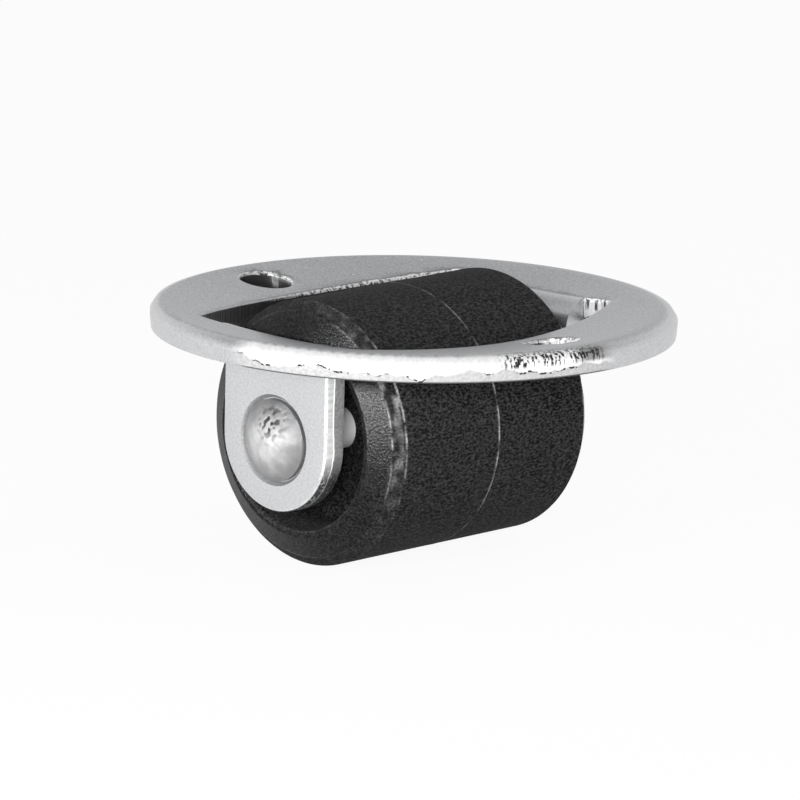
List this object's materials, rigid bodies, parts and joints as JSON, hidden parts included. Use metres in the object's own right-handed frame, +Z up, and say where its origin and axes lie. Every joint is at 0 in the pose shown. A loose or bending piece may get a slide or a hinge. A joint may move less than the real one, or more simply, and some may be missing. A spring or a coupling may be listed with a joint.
{
  "type": "fixed caster",
  "caption": "Rigid furniture caster: a round dished steel plate with folded ears that carry a wide moulded roller on a riveted axle.",
  "frame": {"origin": "midway between the two screw holes, level with the underside of the flat ring round the plate", "axes": "+X along the rolling direction, +Y along the axle, +Z up towards the furniture"},
  "size_m": [0.05, 0.0499, 0.0254],
  "materials": {
    "zinc_plated_sheet": "zinc plated, satin, with sheared edges",
    "bright_rivet": "zinc plated, bright, with a hammered dome",
    "black_moulding": "moulded, matte, with fine parting lines"
  },
  "bodies": {
    "bracket": {"mounting_plate": "zinc_plated_sheet", "axle_rivet": "bright_rivet"},
    "roller": {"roller": "black_moulding"}
  },
  "joints": [
    {"name": "roller_spin", "type": "hinge", "parent": "bracket", "child": "roller", "pos_m": [0, 0, -0.0084], "axis": [0, 1, 0], "continuous": true}
  ]
}
